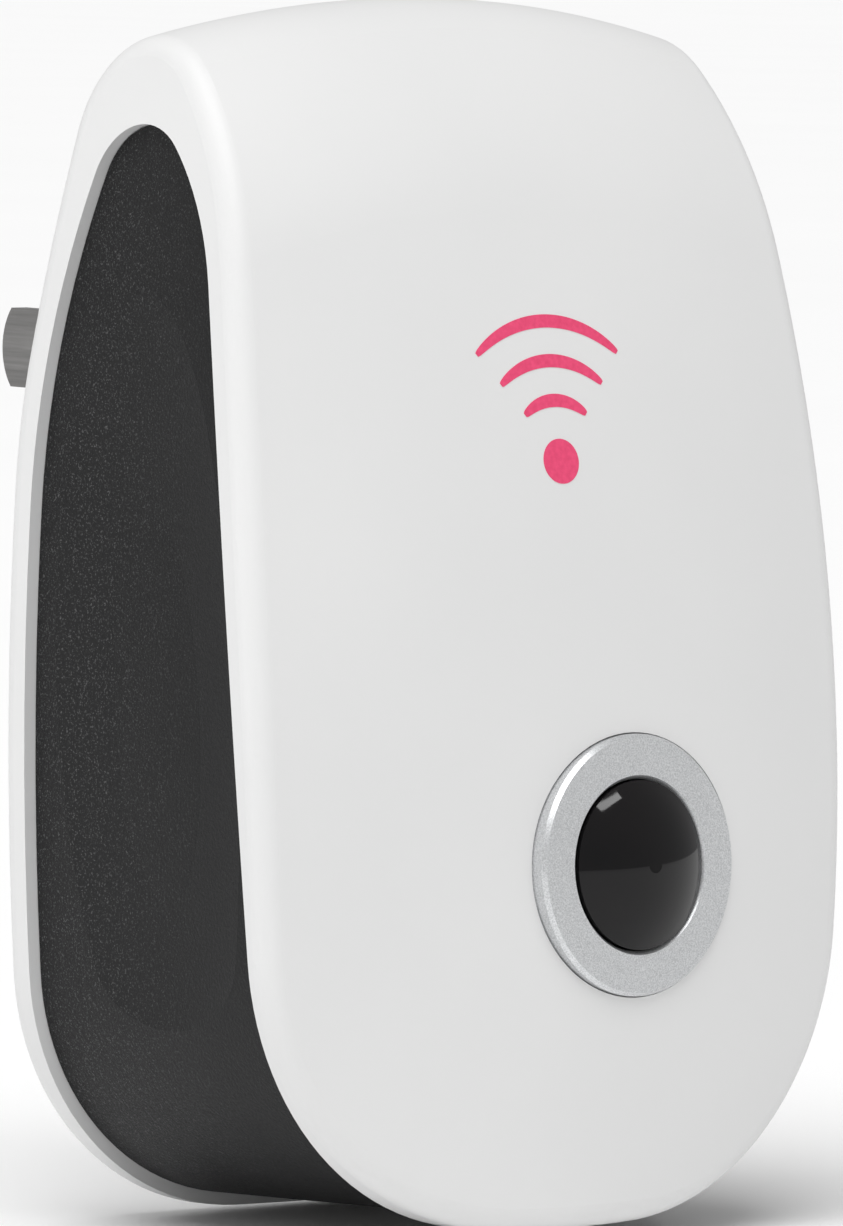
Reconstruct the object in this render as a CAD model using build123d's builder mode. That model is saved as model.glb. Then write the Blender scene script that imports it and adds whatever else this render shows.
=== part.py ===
from build123d import *
from math import asin, cos, degrees, pi, radians, sin, tan
import os

# Plug-in ultrasonic pest repeller, in millimetres.
# The origin is the middle of the face that meets the wall outlet, between the two blades.
# +Z is up, the case faces -Y, and the blades point along +Y.
os.makedirs("parts", exist_ok=True)

# ---- driving sizes of the case ----
case_height = 94.9  # underside to the crest of the arch
case_width = 59.0  # widest, at the flat back
case_depth = 36.9  # flat back to the most forward point of the face
deepest_height = 12.9  # height of that most forward point
widest_height = 41.6
wall = 2.0
fit_gap = 0.1  # between pieces that seat in each other
draft_angle = 1.5  # the side walls lean in towards the face

# front outline
side_bow_radius = 300.0
back_underside_radius = 400.0
face_underside_radius = 130.0
face_underside_lift = 0.6  # the underside rises this much on its way to the face
back_corner_radius = 20.5
face_corner_radius = 24.5

# side outline, arcs from the face over the crest to the back
face_setback = 8.33  # how far the face has leaned back where the shoulder begins
shoulder_radius = 29.0
shoulder_lean = 47.9
crest_radius = 8.6
rear_start = 30.8  # height at which the back begins to lean forward
# the side outline is swept round an axis that dips towards the face, which crowns face and arch
crown_axis_depth = 13.5
crown_axis_height = -3.1
crown_axis_dip = 16.7

edge_radius = 2.0
rear_lift = 0.5  # the rear arc would pass the flat back by this much, so that they cross cleanly
rear_blend_radius = 60.0
parting_depth = 6.0  # where the front shell meets the rear shell

# black side frame, seen through a tongue-shaped opening in each side of the shells
tongue_depth = case_depth - 5.7
tongue_deepest_height = deepest_height - 5.3
tongue_back = 3.4
tongue_height = case_height - 9.7
tongue_face_setback = 7.23
tongue_shoulder_radius = 21.0
tongue_shoulder_lean = 46.6
tongue_crest_radius = 5.8
tongue_rear_start = 55.5
side_recess = 1.0
side_wall = 2.2
flange_width = 0.9
flange_thickness = 1.2
scoop_depth = 1.4  # a long shallow hollow in each side panel
scoop_half_length = 31.5
scoop_half_width = 11.0
scoop_height = 51.0  # its middle
scoop_ahead = 17.5
scoop_lean = 5.0

# lens and its bezel
lens_x = 4.8
lens_height = 29.2
lens_radius = 6.5
lens_rim_proud = 0.45
lens_bulge = 1.7
lens_wall = 1.3
lens_skirt = 4.0
lens_flange_gap = 0.75
lens_turn = 2.5  # the lens faces this much further to the side than the crown does
bezel_radius = 10.05
bezel_proud = 0.4
bezel_seat = 1.0
bezel_bevel = 0.35

# plug
plug_height = 65.9  # middle of the plug above the underside
plug_proud = 14.0
plug_width = 28.0
plug_tall = 24.0
plug_corner_radius = 5.0
spigot_width = 18.0
spigot_tall = 13.0
blade_spacing = 12.7
blade_width = 6.35
blade_thickness = 1.5
blade_length = 17.5
blade_hole_radius = 1.6
blade_hole_from_tip = 5.8
blade_tail = 3.5
tail_hole_radius = 1.0
tail_hole_from_end = 2.0
pad_width = 31.0
pad_tall = 26.0
pad_depth = 5.2
solder_gap = 0.35
plug_screw_x = 11.0
plug_screw_z = 8.8

# board and its posts
board_width = 34.0
board_tall = 40.0
board_bottom = 19.0
board_depth = 9.0
board_thickness = 1.6
board_post_x = 14.0
board_post_heights = (23.0, 49.0)
board_post_radius = 2.6
board_screw_radius = 1.1

# case screws and bosses
case_screw_spots = ((-19.0, 15.0), (19.0, 15.0), (-21.0, 58.0), (21.0, 58.0))
case_boss_radius = 3.2
case_screw_radius = 1.25
case_screw_length = 13.0
screw_head_radius = 2.5
screw_head_height = 1.7
case_screw_seat = 2.6  # depth of the screw's head seat ahead of the flat back

# speaker
speaker_radius = 12.6
speaker_depth = 16.8
speaker_seat_height = 5.2
speaker_wall = 1.3
speaker_tall = 9.4
gasket_thickness = 0.8
diaphragm_radius = 10.6
diaphragm_thickness = 0.35
ceramic_radius = 8.0
ceramic_thickness = 0.3
speaker_lip = 1.2  # how far the diaphragm's seat and clamp reach under and over its edge
speaker_mouth_radius = 10.0  # bore of the gasket and of the seat below it
clamp_height = 2.4
cap_thickness = 1.6
slot_width = 1.5
slot_pitch = 3.2
slot_count = 5

wire_radius = 0.45
speaker_ledge = 1.6
slot_length = 15.0
speaker_wire_x = (0.0, 8.7)

# light unit
baffle_radius = 7.5
baffle_wall = 0.9
baffle_gap = 0.9
led_radius = 1.5
led_body = 3.6
led_stand = 9.0
led_pitch = 5.0

# components on the board: places across and up
film_capacitor_spot = (-9.0, 55.0)
film_width = 13.0
film_tall = 5.6
film_stand = 11.0
film_edge_radius = 0.7
smoothing_spot = (-8.2, 41.5)
smoothing_radius = 4.0
smoothing_stand = 12.0
reservoir_spot = (-8.4, 33.0)
reservoir_radius = 3.1
reservoir_stand = 8.5
can_edge = 0.4
can_groove_lift = 1.4
can_groove_width = 0.7
diode_spots = [(x, 48.2) for x in (-1.2, 2.0, 5.2, 8.4)]
diode_radius = 1.25
diode_length = 5.0
resistor_spots = [(-14.4, height) for height in (29.0, 32.0, 35.0, 38.0, 41.0)]
resistor_radius = 0.85
resistor_length = 3.8
fusible_spot = (11.5, 55.6)
fusible_radius = 1.6
fusible_length = 8.5
varistor_spot = (2.6, 55.0)
varistor_radius = 3.4
varistor_thickness = 2.6
disc_spots = [(-4.1, 36.4), (-4.1, 30.8)]
disc_radius = 2.0
disc_thickness = 1.5
disc_lift = 1.0
lead_pitch = 2.5
lead_radius = 0.3
coil_spot = (-6.4, 25.2)
coil_radius = 3.4
coil_core_radius = 1.7
coil_flange = 1.2
coil_length = 4.6
winding_inset = 0.3
driver_spot = (6.6, 41.6)
chip_width = 9.4
chip_tall = 6.2
chip_lift = 0.5
chip_thickness = 3.2
chip_leg_pitch = 2.54
chip_row_spacing = 7.2
chip_legs_a_side = 4
chip_leg_width = 0.6
chip_leg_thickness = 0.3
chip_leg_rise = 2.2
transistor_spots = ((14.4, 41.5), (14.4, 36.2))
transistor_radius = 2.2
transistor_flat = 1.1
transistor_lift = 2.0
transistor_tall = 4.6
transistor_leg = 0.4
transistor_leg_pitch = 1.27

# fasteners, blades and the label
board_screw_length = 6.0
plug_screw_length = 11.0
plug_edge_radius = 1.0
blade_gap = 0.03
blade_tip_drop = 1.2
label_width = 30.0
label_tall = 18.0
label_height = 32.0
label_thickness = 0.12


def up(height):
    """Z of a place this high above the underside."""
    return height - plug_height


def ahead(depth):
    """Y of a place this far ahead of the case's flat back."""
    return -plug_proud - depth


front_plane = Plane(origin=(0, ahead(0), up(0)), x_dir=(1, 0, 0), z_dir=(0, -1, 0))
side_plane = Plane(origin=(0, ahead(0), up(0)), x_dir=(0, -1, 0), z_dir=(-1, 0, 0))
dip = radians(crown_axis_dip)
crown_axis = Axis((0, ahead(crown_axis_depth), up(crown_axis_height)), (0, -cos(dip), -sin(dip)))
board_face = board_depth + board_thickness


class Arch:
    """Side outline: a face that leans back, a shoulder, a crest and a back that leans forward.

    The arcs touch end to end. Centres are (depth, height) and angles are in radians.
    """

    def __init__(
        self, depth, deepest, back, height, setback, shoulder_r, shoulder_lean, crest_r, rear_start
    ):
        self.back = back
        self.shoulder_r = shoulder_r
        self.crest_r = crest_r
        self.shoulder_lean = radians(shoulder_lean)
        shoulder_step = shoulder_r - crest_r
        rise = height - crest_r - shoulder_step * sin(self.shoulder_lean) - deepest
        face_step = (rise**2 + setback**2) / (2 * setback)
        self.face_r = face_step + shoulder_r
        self.face_lean = asin(rise / face_step)
        self.face = (depth - self.face_r, deepest)
        self.shoulder = (depth - shoulder_r - setback, deepest + rise)
        self.crest = (
            self.shoulder[0] + shoulder_step * cos(self.shoulder_lean),
            self.shoulder[1] + shoulder_step * sin(self.shoulder_lean),
        )
        reach = self.crest[0] - back
        climb = self.crest[1] - rear_start
        self.rear_r = (reach**2 + climb**2 - crest_r**2) / (2 * (reach - crest_r))
        self.rear_lean = asin(climb / (self.rear_r - crest_r))
        self.rear = (back + self.rear_r, rear_start)

    def sketch(self, inset, foot, above_axis=False):
        """The closed outline, every arc keeping its centre and losing the inset from its radius.

        Above the crown's axis only, where it is to be swept round that axis.
        """
        start = asin((foot - self.face[1]) / (self.face_r - inset))
        with BuildSketch(side_plane) as outline:
            with BuildLine():
                front = CenterArc(
                    self.face,
                    self.face_r - inset,
                    degrees(start),
                    degrees(self.face_lean - start),
                )
                CenterArc(
                    self.shoulder,
                    self.shoulder_r - inset,
                    degrees(self.face_lean),
                    degrees(self.shoulder_lean - self.face_lean),
                )
                CenterArc(
                    self.crest,
                    self.crest_r - inset,
                    degrees(self.shoulder_lean),
                    180 - degrees(self.rear_lean + self.shoulder_lean),
                )
                top = CenterArc(
                    self.rear,
                    self.rear_r - inset,
                    180 - degrees(self.rear_lean),
                    degrees(self.rear_lean),
                )
                Polyline(top @ 1, (self.back + inset, foot), front @ 0)
            make_face()
            if above_axis:
                with Locations(
                    Location((crown_axis_depth, crown_axis_height, 0), (0, 0, -crown_axis_dip))
                ):
                    Rectangle(
                        4 * case_height,
                        2 * case_height,
                        align=(Align.CENTER, Align.MIN),
                        mode=Mode.INTERSECT,
                    )
        return outline.sketch


case_arch = Arch(
    case_depth,
    deepest_height,
    -rear_lift,
    case_height,
    face_setback,
    shoulder_radius,
    shoulder_lean,
    crest_radius,
    rear_start,
)
tongue_arch = Arch(
    tongue_depth,
    tongue_deepest_height,
    tongue_back,
    tongue_height,
    tongue_face_setback,
    tongue_shoulder_radius,
    tongue_shoulder_lean,
    tongue_crest_radius,
    tongue_rear_start,
)


def case_outline(inset, underside_radius, corner_radius, lift=0.0):
    """Front outline of the case: bowed sides, rounded lower corners, open above the crest."""
    half = case_width / 2
    top = 1.1 * case_height
    foot = -side_bow_radius * 0.02
    top_half = half - side_bow_radius + (side_bow_radius**2 - (top - widest_height) ** 2) ** 0.5
    foot_half = half - side_bow_radius + (side_bow_radius**2 - (foot - widest_height) ** 2) ** 0.5
    with BuildSketch(front_plane) as outline:
        with BuildLine():
            Polyline((-top_half, top), (top_half, top))
            ThreePointArc((top_half, top), (half, widest_height), (foot_half, foot))
            Polyline((foot_half, foot), (-foot_half, foot))
            ThreePointArc((-foot_half, foot), (-half, widest_height), (-top_half, top))
        make_face()
        with Locations((0, underside_radius + lift)):
            Circle(underside_radius, mode=Mode.INTERSECT)
        fillet(outline.vertices().group_by(Axis.Y)[0], corner_radius)
        if inset > 0:
            offset(amount=-inset)
    return outline.sketch


def side_prism(inset):
    """The case's outline carried forwards from its back, leaning in by the draft angle."""
    reach = case_depth + wall
    with BuildPart() as prism:
        add(case_outline(inset, back_underside_radius, back_corner_radius))
        face_outline = case_outline(
            inset + reach * tan(radians(draft_angle)),
            face_underside_radius,
            face_corner_radius,
            face_underside_lift,
        )
        add(face_outline.moved(Location((0, -reach, 0))))
        loft(ruled=True)
    return prism.part


def case_form(inset):
    """The closed form of the case, every surface set in by the inset."""
    with BuildPart() as form:
        add(case_arch.sketch(inset, crown_axis_height - case_width / 2, True))
        revolve(axis=crown_axis, revolution_arc=360)
        add(side_prism(inset), mode=Mode.INTERSECT)
        split(bisect_by=front_plane.offset(inset), keep=Keep.TOP)
    return form.part


def tongue(grow):
    """A prism along X with the side opening's outline, open below the case."""
    with BuildPart() as prism:
        add(tongue_arch.sketch(-grow, -wall).moved(Location((case_width, 0, 0))))
        extrude(amount=2 * case_width, dir=(-1, 0, 0))
    return prism.part


def faces_outwards(face):
    """True for the case's sides, lower corners and underside."""
    normal = face.normal_at(face.center())
    return abs(normal.X) > 0.6 or normal.Z < -0.7


def rounded_case():
    """The outside of the case, its arch blended into the flat back and its rim rounded."""
    with BuildPart() as case:
        add(case_form(0))
        back = case.faces().sort_by(Axis.Y)[-1]
        swept = case.faces().filter_by(
            lambda face: face.geom_type in (GeomType.REVOLUTION, GeomType.TORUS)
        )
        fillet([edge for edge in back.edges() if edge in swept.edges()], rear_blend_radius)
        walls = case.faces().filter_by(faces_outwards)
        rest = case.faces().filter_by(lambda face: face not in walls)
        fillet([edge for edge in walls.edges() if edge in rest.edges()], edge_radius)
    return case.part


def front_view(depth):
    """A plane that faces the front, this far ahead of the flat back, in case coordinates."""
    return front_plane.offset(depth)


def cylinder_ahead(spots, radius, start, end):
    """Round bars along Y at the given places, from one depth to another."""
    with BuildPart() as bars:
        with BuildSketch(front_view(start)):
            with Locations(*spots):
                Circle(radius)
        extrude(amount=end - start)
    return bars.part


def export(piece, label):
    """Name a finished piece and write it."""
    piece.part.label = label
    export_step(piece.part, f"parts/{label}.step")


# ---- places that several pieces share ----
form = rounded_case()
cavity = case_form(wall)
opening = tongue(0)
ahead_of_parting = Plane(origin=(0, ahead(parting_depth), 0), x_dir=(1, 0, 0), z_dir=(0, -1, 0))


def face_point(x, height):
    """Depth and outward normal of the crowned face at this place."""
    guess = height
    for _ in range(20):
        lean = asin((guess - case_arch.face[1]) / case_arch.face_r)
        forward = case_arch.face[0] + case_arch.face_r * cos(lean) - crown_axis_depth
        rise = guess - crown_axis_height
        along = forward * cos(dip) - rise * sin(dip)
        swing = forward * sin(dip) + rise * cos(dip)
        level = (swing**2 - x**2) ** 0.5
        guess += height - (crown_axis_height - along * sin(dip) + level * cos(dip))
    depth = crown_axis_depth + along * cos(dip) + level * sin(dip)
    normal_along = cos(lean) * cos(dip) - sin(lean) * sin(dip)
    normal_out = cos(lean) * sin(dip) + sin(lean) * cos(dip)
    level_out = normal_out * level / swing
    normal = (
        normal_out * x / swing,
        -(normal_along * cos(dip) + level_out * sin(dip)),
        level_out * cos(dip) - normal_along * sin(dip),
    )
    return depth, normal


lens_face_depth, lens_normal = face_point(lens_x, lens_height)
lens_plane = Plane(
    origin=(lens_x, ahead(lens_face_depth), up(lens_height)), x_dir=(1, 0, 0), z_dir=lens_normal
).rotated((0, 0, lens_turn))
lens_axis = Axis(lens_plane.origin, lens_plane.z_dir)

post_spots = [(side * board_post_x, height) for side in (-1, 1) for height in board_post_heights]
plug_screw_spots = [
    (x, plug_height + z) for x in (-plug_screw_x, plug_screw_x) for z in (-plug_screw_z, plug_screw_z)
]

# ---- front shell: face, arch and side rims, with four screw bosses ----
with BuildPart() as boss_rods:
    add(cylinder_ahead(case_screw_spots, case_boss_radius, parting_depth + fit_gap, case_depth))
    add(case_form(wall / 2), mode=Mode.INTERSECT)
with BuildPart() as front_shell:
    add(form)
    add(cavity, mode=Mode.SUBTRACT)
    add(opening, mode=Mode.SUBTRACT)
    split(bisect_by=ahead_of_parting, keep=Keep.TOP)
    add(boss_rods.part)
    add(
        cylinder_ahead(
            case_screw_spots,
            case_screw_radius,
            parting_depth,
            case_screw_seat + case_screw_length + fit_gap,
        ),
        mode=Mode.SUBTRACT,
    )
    with BuildSketch(lens_plane.offset(-bezel_seat)):
        Circle(bezel_radius + fit_gap)
    extrude(amount=bezel_seat + wall, mode=Mode.SUBTRACT)
    with BuildSketch(lens_plane):
        Circle(lens_radius + fit_gap)
    extrude(amount=wall * 2, both=True, mode=Mode.SUBTRACT)
export(front_shell, "front_shell")

# ---- rear shell: shallow tray with the board posts, screw seats and the plug's window ----
with BuildPart() as plug_pad:
    with BuildSketch(front_plane):
        with Locations((0, plug_height)):
            Rectangle(pad_width, pad_tall)
    extrude(amount=pad_depth)
    add(case_form(wall / 2), mode=Mode.INTERSECT)
with BuildPart() as rear_shell:
    add(form)
    add(cavity, mode=Mode.SUBTRACT)
    add(opening, mode=Mode.SUBTRACT)
    split(bisect_by=ahead_of_parting, keep=Keep.BOTTOM)
    add(cylinder_ahead(post_spots, board_post_radius, wall / 2, board_depth))
    add(cylinder_ahead(post_spots, board_screw_radius, wall + 1, board_depth), mode=Mode.SUBTRACT)
    add(cylinder_ahead(case_screw_spots, case_boss_radius, wall / 2, parting_depth))
    add(plug_pad.part)
    add(
        cylinder_ahead(case_screw_spots, screw_head_radius + 0.3, -1, case_screw_seat),
        mode=Mode.SUBTRACT,
    )
    add(
        cylinder_ahead(case_screw_spots, case_screw_radius + fit_gap, 0, parting_depth),
        mode=Mode.SUBTRACT,
    )
    with BuildSketch(front_plane):
        with Locations((0, plug_height)):
            Rectangle(spigot_width + 2 * fit_gap, spigot_tall + 2 * fit_gap)
        with Locations(*plug_screw_spots):
            Circle(board_screw_radius + fit_gap)
    extrude(amount=pad_depth + wall, both=True, mode=Mode.SUBTRACT)
export(rear_shell, "rear_shell")

# ---- black side frame: two recessed side panels and the slotted underside ----
speaker_y = ahead(speaker_depth)
panel_radius = side_bow_radius - side_recess
scoop_across_radius = (scoop_half_width**2 / scoop_depth + scoop_depth) / 2
scoop_along_radius = 1 / (1 / panel_radius - 2 * scoop_depth / scoop_half_length**2)
scoop_floor = case_width / 2 - side_recess - scoop_ahead * tan(radians(draft_angle)) - scoop_depth
with BuildPart() as side_panels:
    add(case_form(side_recess))
    add(side_prism(side_recess + side_wall), mode=Mode.SUBTRACT)
    for side in (-1, 1):
        centre = (side * (scoop_floor - scoop_along_radius), ahead(scoop_ahead), up(scoop_height))
        with Locations(Location(centre, (90 - scoop_lean, 0, 0))):
            Torus(
                scoop_along_radius + scoop_across_radius, scoop_across_radius, mode=Mode.SUBTRACT
            )
    add(tongue(-fit_gap), mode=Mode.INTERSECT)
with BuildPart() as side_flange:
    add(case_form(wall + fit_gap))
    add(side_prism(wall + fit_gap + flange_thickness), mode=Mode.SUBTRACT)
    add(tongue(flange_width), mode=Mode.INTERSECT)
with BuildPart() as speaker_seat:
    with BuildSketch(Plane.XY.offset(up(side_recess))):
        with Locations((0, speaker_y)):
            Circle(speaker_radius)
            Circle(speaker_mouth_radius, mode=Mode.SUBTRACT)
    extrude(amount=speaker_seat_height - side_recess)
    add(case_form(side_recess + side_wall / 2), mode=Mode.INTERSECT)
with BuildPart() as side_frame:
    add(side_panels.part)
    add(side_flange.part)
    add(speaker_seat.part)
    with BuildSketch(Plane.XY.offset(up(-1))):
        with Locations((0, speaker_y)):
            with GridLocations(slot_pitch, 0, slot_count, 1):
                SlotOverall(slot_length, slot_width, rotation=90)
    extrude(amount=speaker_seat_height, mode=Mode.SUBTRACT)
    add(
        cylinder_ahead(case_screw_spots, case_boss_radius + 0.3, 0, case_depth + wall),
        mode=Mode.SUBTRACT,
    )
export(side_frame, "side_frame")

# ---- bezel ring and the dark lens over the lamps ----
with BuildPart() as bezel_ring:
    with BuildSketch(lens_plane.offset(-bezel_seat)):
        Circle(bezel_radius)
        Circle(lens_radius + fit_gap, mode=Mode.SUBTRACT)
    extrude(amount=bezel_seat + bezel_proud)
    rims = bezel_ring.edges().filter_by(GeomType.CIRCLE).sort_by(lens_axis)[-2:]
    chamfer(rims, bezel_bevel, bezel_bevel * 0.8)
export(bezel_ring, "bezel_ring")

dome_radius = (lens_radius**2 + lens_bulge**2) / (2 * lens_bulge)
lens_side = Plane(origin=lens_plane.origin, x_dir=lens_plane.x_dir, z_dir=-lens_plane.y_dir)
lens_flange_top = -(wall + lens_flange_gap)
with BuildPart() as lens_dome:
    with BuildSketch(lens_plane.offset(-lens_skirt)):
        Circle(lens_radius + lens_wall)
    extrude(amount=lens_skirt + lens_flange_top)
    with BuildSketch(lens_plane.offset(lens_flange_top)):
        Circle(lens_radius)
    extrude(amount=lens_rim_proud - lens_flange_top)
    with BuildSketch(lens_side):
        with BuildLine():
            cap = CenterArc(
                (0, lens_rim_proud + lens_bulge - dome_radius),
                dome_radius,
                90 - degrees(asin(lens_radius / dome_radius)),
                degrees(asin(lens_radius / dome_radius)),
            )
            Polyline(cap @ 1, (0, lens_rim_proud), cap @ 0)
        make_face()
    revolve(axis=lens_axis, revolution_arc=360)
    with BuildSketch(lens_plane.offset(-lens_skirt)):
        Circle(lens_radius - lens_wall)
    extrude(amount=lens_skirt + lens_rim_proud - lens_wall / 2, mode=Mode.SUBTRACT)
export(lens_dome, "lens_dome")

with BuildPart() as light_baffle:
    with BuildSketch(front_view(board_face)):
        with Locations((lens_x, lens_height)):
            Circle(baffle_radius)
            Circle(baffle_radius - baffle_wall, mode=Mode.SUBTRACT)
    extrude(amount=lens_face_depth - lens_skirt - baffle_gap - board_face)
export(light_baffle, "light_baffle")

# ---- printed circuit board and what it carries ----
with BuildPart() as main_board:
    with BuildSketch(front_view(board_depth)):
        with Locations((0, board_bottom + board_tall / 2)):
            RectangleRounded(board_width, board_tall, 1)
        with Locations(*post_spots):
            Circle(board_screw_radius + fit_gap, mode=Mode.SUBTRACT)
    extrude(amount=board_thickness)
export(main_board, "main_board")


def on_board(x, height, lift=0.0):
    """A plane on the board's face, or lifted off it, at this place."""
    return Plane(
        origin=(x, ahead(board_face + lift), up(height)), x_dir=(1, 0, 0), z_dir=(0, -1, 0)
    )


def led(x, height, label):
    """A round lamp with a flange, a domed top and two leads down to the board."""
    with BuildPart() as lamp:
        with BuildSketch(on_board(x, height, led_stand)):
            Circle(led_radius + 0.4)
        extrude(amount=1)
        with BuildSketch(on_board(x, height, led_stand + 1)):
            Circle(led_radius)
        extrude(amount=led_body)
        fillet(lamp.faces().sort_by(Axis.Y)[0].edges(), led_radius * 0.9)
        with BuildSketch(on_board(x, height)):
            with GridLocations(led_radius, 0, 2, 1):
                Rectangle(0.5, 0.5)
        extrude(amount=led_stand)
    export(lamp, label)


led(lens_x - led_pitch / 2, lens_height, "red_lamp")
led(lens_x + led_pitch / 2, lens_height, "blue_lamp")

with BuildPart() as film_capacitor:
    with BuildSketch(on_board(*film_capacitor_spot)):
        RectangleRounded(film_width, film_tall, film_edge_radius)
    extrude(amount=film_stand)
    fillet(film_capacitor.faces().sort_by(Axis.Y)[0].edges(), film_edge_radius)
export(film_capacitor, "film_capacitor")


def can_capacitor(spot, radius, height, label):
    """A can with the crimped groove near its foot."""
    with BuildPart() as can:
        with BuildSketch(on_board(*spot)):
            Circle(radius)
        extrude(amount=height)
        fillet(can.edges().filter_by(GeomType.CIRCLE), can_edge)
        with BuildSketch(on_board(*spot, can_groove_lift)):
            Circle(radius + can_edge)
            Circle(radius - can_edge, mode=Mode.SUBTRACT)
        extrude(amount=can_groove_width, mode=Mode.SUBTRACT)
    export(can, label)


can_capacitor(smoothing_spot, smoothing_radius, smoothing_stand, "smoothing_capacitor")
can_capacitor(reservoir_spot, reservoir_radius, reservoir_stand, "reservoir_capacitor")


def lying_bars(spots, radius, length, across, label):
    """Small round components lying on the board, every one a solid of its own."""
    with BuildPart() as bars:
        for x, height in spots:
            base = on_board(x, height, radius + 0.1)
            along = base.x_dir if across else base.y_dir
            with BuildSketch(Plane(base.origin - along * (length / 2), z_dir=along)):
                Circle(radius)
            extrude(amount=length)
        fillet(bars.edges().filter_by(GeomType.CIRCLE), radius * 0.3)
    export(bars, label)


lying_bars(diode_spots, diode_radius, diode_length, False, "rectifier_diodes")
lying_bars(resistor_spots, resistor_radius, resistor_length, True, "resistors")
lying_bars([fusible_spot], fusible_radius, fusible_length, True, "fusible_resistor")


def standing_discs(spots, radius, thickness, label):
    """Disc components standing on edge on the board."""
    with BuildPart() as discs:
        for x, height in spots:
            with BuildSketch(
                Plane(
                    origin=(x - thickness / 2, ahead(board_face + radius + disc_lift), up(height)),
                    z_dir=(1, 0, 0),
                )
            ):
                Circle(radius)
            extrude(amount=thickness)
        fillet(discs.edges().filter_by(GeomType.CIRCLE), thickness * 0.35)
        with BuildSketch(front_view(board_face)):
            for x, height in spots:
                with Locations((x, height - lead_pitch / 2), (x, height + lead_pitch / 2)):
                    Circle(lead_radius)
        extrude(amount=disc_lift + lead_radius)
    export(discs, label)


standing_discs([varistor_spot], varistor_radius, varistor_thickness, "varistor")
standing_discs(disc_spots, disc_radius, disc_thickness, "ceramic_capacitors")

with BuildPart() as coil_core:
    with BuildSketch(on_board(*coil_spot)):
        Circle(coil_radius)
    extrude(amount=coil_flange)
    with BuildSketch(on_board(*coil_spot, coil_flange)):
        Circle(coil_core_radius)
    extrude(amount=coil_length)
    with BuildSketch(on_board(*coil_spot, coil_flange + coil_length)):
        Circle(coil_radius)
    extrude(amount=coil_flange)
export(coil_core, "coil_core")

with BuildPart() as coil_winding:
    with BuildSketch(on_board(*coil_spot, coil_flange)):
        Circle(coil_radius - winding_inset)
        Circle(coil_core_radius, mode=Mode.SUBTRACT)
    extrude(amount=coil_length)
export(coil_winding, "coil_winding")

with BuildPart() as driver_chip:
    with BuildSketch(on_board(*driver_spot, chip_lift)):
        Rectangle(chip_width, chip_tall)
    extrude(amount=chip_thickness)
    chamfer(driver_chip.faces().sort_by(Axis.Y)[0].edges(), chip_leg_thickness)
    with BuildSketch(on_board(*driver_spot)):
        with GridLocations(chip_leg_pitch, chip_row_spacing, chip_legs_a_side, 2):
            Rectangle(chip_leg_width, chip_leg_thickness)
    extrude(amount=chip_leg_rise)
    with BuildSketch(on_board(*driver_spot, chip_leg_rise - chip_leg_thickness)):
        with GridLocations(chip_leg_pitch, chip_tall, chip_legs_a_side, 2):
            Rectangle(2 * chip_leg_width, chip_row_spacing - chip_tall + chip_leg_thickness)
    extrude(amount=chip_leg_thickness)
export(driver_chip, "driver_chip")

with BuildPart() as transistors:
    for spot in transistor_spots:
        with BuildSketch(on_board(*spot, transistor_lift)):
            Circle(transistor_radius)
            with Locations((0, -transistor_flat)):
                Rectangle(
                    2 * transistor_radius,
                    transistor_radius,
                    align=(Align.CENTER, Align.MAX),
                    mode=Mode.SUBTRACT,
                )
        extrude(amount=transistor_tall)
        with BuildSketch(on_board(*spot)):
            with GridLocations(transistor_leg_pitch, 0, 3, 1):
                Rectangle(transistor_leg, transistor_leg)
        extrude(amount=transistor_lift)
export(transistors, "transistors")

# ---- speaker that fires down through the slots ----
with BuildPart() as speaker_gasket:
    with BuildSketch(Plane.XY.offset(up(speaker_seat_height))):
        with Locations((0, speaker_y)):
            Circle(speaker_radius)
            Circle(speaker_mouth_radius, mode=Mode.SUBTRACT)
    extrude(amount=gasket_thickness)
export(speaker_gasket, "speaker_gasket")

speaker_foot = speaker_seat_height + gasket_thickness
ledge = speaker_foot + speaker_ledge
with BuildPart() as speaker_housing:
    with BuildSketch(Plane.XY.offset(up(speaker_foot))):
        with Locations((0, speaker_y)):
            Circle(speaker_radius)
    extrude(amount=speaker_tall)
    with BuildSketch(Plane.XY.offset(up(ledge))):
        with Locations((0, speaker_y)):
            Circle(speaker_radius - speaker_wall)
    extrude(amount=speaker_tall - speaker_ledge, mode=Mode.SUBTRACT)
    with BuildSketch(Plane.XY.offset(up(speaker_foot))):
        with Locations((0, speaker_y)):
            Circle(diaphragm_radius - speaker_lip)
    extrude(amount=speaker_ledge, mode=Mode.SUBTRACT)
export(speaker_housing, "speaker_housing")


def speaker_disc(radius, start, thickness, label, bore=0.0):
    """A flat disc on the speaker's axis."""
    with BuildPart() as disc:
        with BuildSketch(Plane.XY.offset(up(start))):
            with Locations((0, speaker_y)):
                Circle(radius)
                if bore:
                    Circle(bore, mode=Mode.SUBTRACT)
        extrude(amount=thickness)
    export(disc, label)


diaphragm_top = ledge + diaphragm_thickness
speaker_inside = speaker_radius - speaker_wall - fit_gap
speaker_disc(diaphragm_radius, ledge, diaphragm_thickness, "brass_diaphragm")
speaker_disc(ceramic_radius, diaphragm_top, ceramic_thickness, "piezo_ceramic")
speaker_disc(
    speaker_inside, diaphragm_top, clamp_height, "diaphragm_clamp", diaphragm_radius - speaker_lip
)
with BuildPart() as speaker_cap:
    with BuildSketch(Plane.XY.offset(up(speaker_foot + speaker_tall - cap_thickness))):
        with Locations((0, speaker_y)):
            Circle(speaker_inside)
        with Locations(*[(x, speaker_y) for x in speaker_wire_x]):
            Circle(wire_radius + fit_gap, mode=Mode.SUBTRACT)
    extrude(amount=cap_thickness)
export(speaker_cap, "speaker_cap")

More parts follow.
